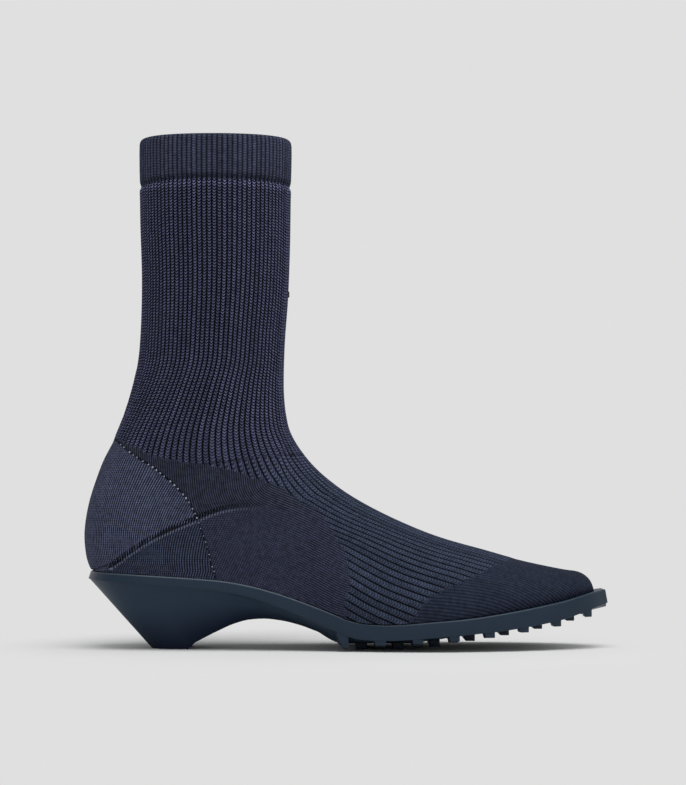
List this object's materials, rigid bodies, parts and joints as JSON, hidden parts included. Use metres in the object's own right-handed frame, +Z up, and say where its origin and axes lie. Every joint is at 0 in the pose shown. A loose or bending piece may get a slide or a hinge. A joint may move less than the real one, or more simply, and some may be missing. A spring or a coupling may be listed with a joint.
{
  "type": "knitted sock ankle boot",
  "caption": "Knitted pull-on sock boot with a ribbed shaft and turned cuff on a moulded rubber unit sole with a low tapered wedge heel, arched waist, toe ledge and lugged tread.",
  "frame": {"origin": "on the floor under the centre of the boot's bounding box, halfway from the back of the heel to the toe tip", "axes": "+X to the toe, +Y to the inner side of the foot, +Z up"},
  "size_m": [0.2657, 0.085, 0.2566],
  "materials": {
    "outsole": "satin moulded, dark teal navy",
    "insole": "matt dark textile over foam",
    "upper": "matt knitted yarn, dark navy"
  },
  "bodies": {
    "root": {"outsole": "outsole", "insole": "insole", "upper": "upper"}
  },
  "joints": []
}
